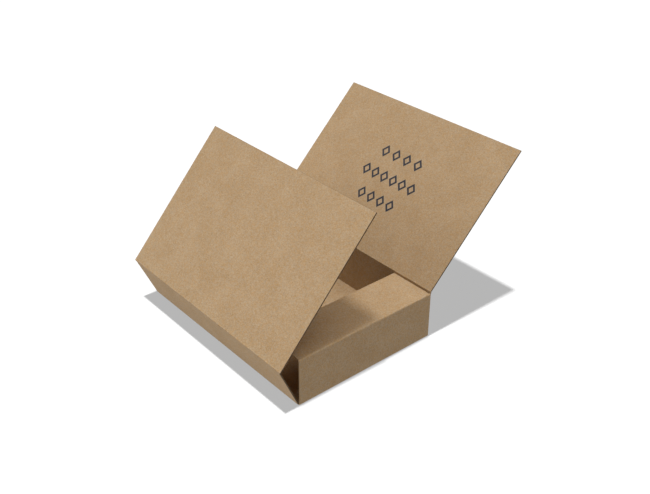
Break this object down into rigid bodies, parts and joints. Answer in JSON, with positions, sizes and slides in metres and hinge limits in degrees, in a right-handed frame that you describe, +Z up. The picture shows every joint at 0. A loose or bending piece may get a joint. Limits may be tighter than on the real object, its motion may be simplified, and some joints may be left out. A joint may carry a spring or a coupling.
{
  "type": "wrap-around box",
  "caption": "Shallow wrap-around mailing box of kraft board, standing open on a table, with a hinged side wall and two full-width hinged covers.",
  "frame": {"origin": "centre of the bottom panel's underside, on the table", "axes": "+X across the two covers, from the leaning left wall to the upright right wall; +Y along the folds, to the rear; +Z up"},
  "size_m": [0.3705, 0.302, 0.2068],
  "materials": {
    "kraft_board": "uncoated brown kraft paper face, matt, with fine fibre specks; three rows of plain dark blue marks on the inner face of the outer cover"
  },
  "bodies": {
    "tray": {"tray": "kraft_board"},
    "left_wall": {"left_wall": "kraft_board"},
    "inner_cover": {"inner_cover": "kraft_board"},
    "outer_cover": {"outer_cover": "kraft_board"}
  },
  "joints": [
    {"name": "left_wall_fold", "type": "hinge", "parent": "tray", "child": "left_wall", "pos_m": [-0.10075, 0, 0.00075], "axis": [0, 1, 0], "range_deg": [-66.4, 23.6]},
    {"name": "inner_cover_fold", "type": "hinge", "parent": "left_wall", "child": "inner_cover", "pos_m": [-0.12561, 0, 0.05766], "axis": [0, 1, 0], "range_deg": [-65.8, 24.2]},
    {"name": "outer_cover_fold", "type": "hinge", "parent": "tray", "child": "outer_cover", "pos_m": [0.10075, 0, 0.06445], "axis": [0, 1, 0], "range_deg": [-78, 63.2]}
  ]
}
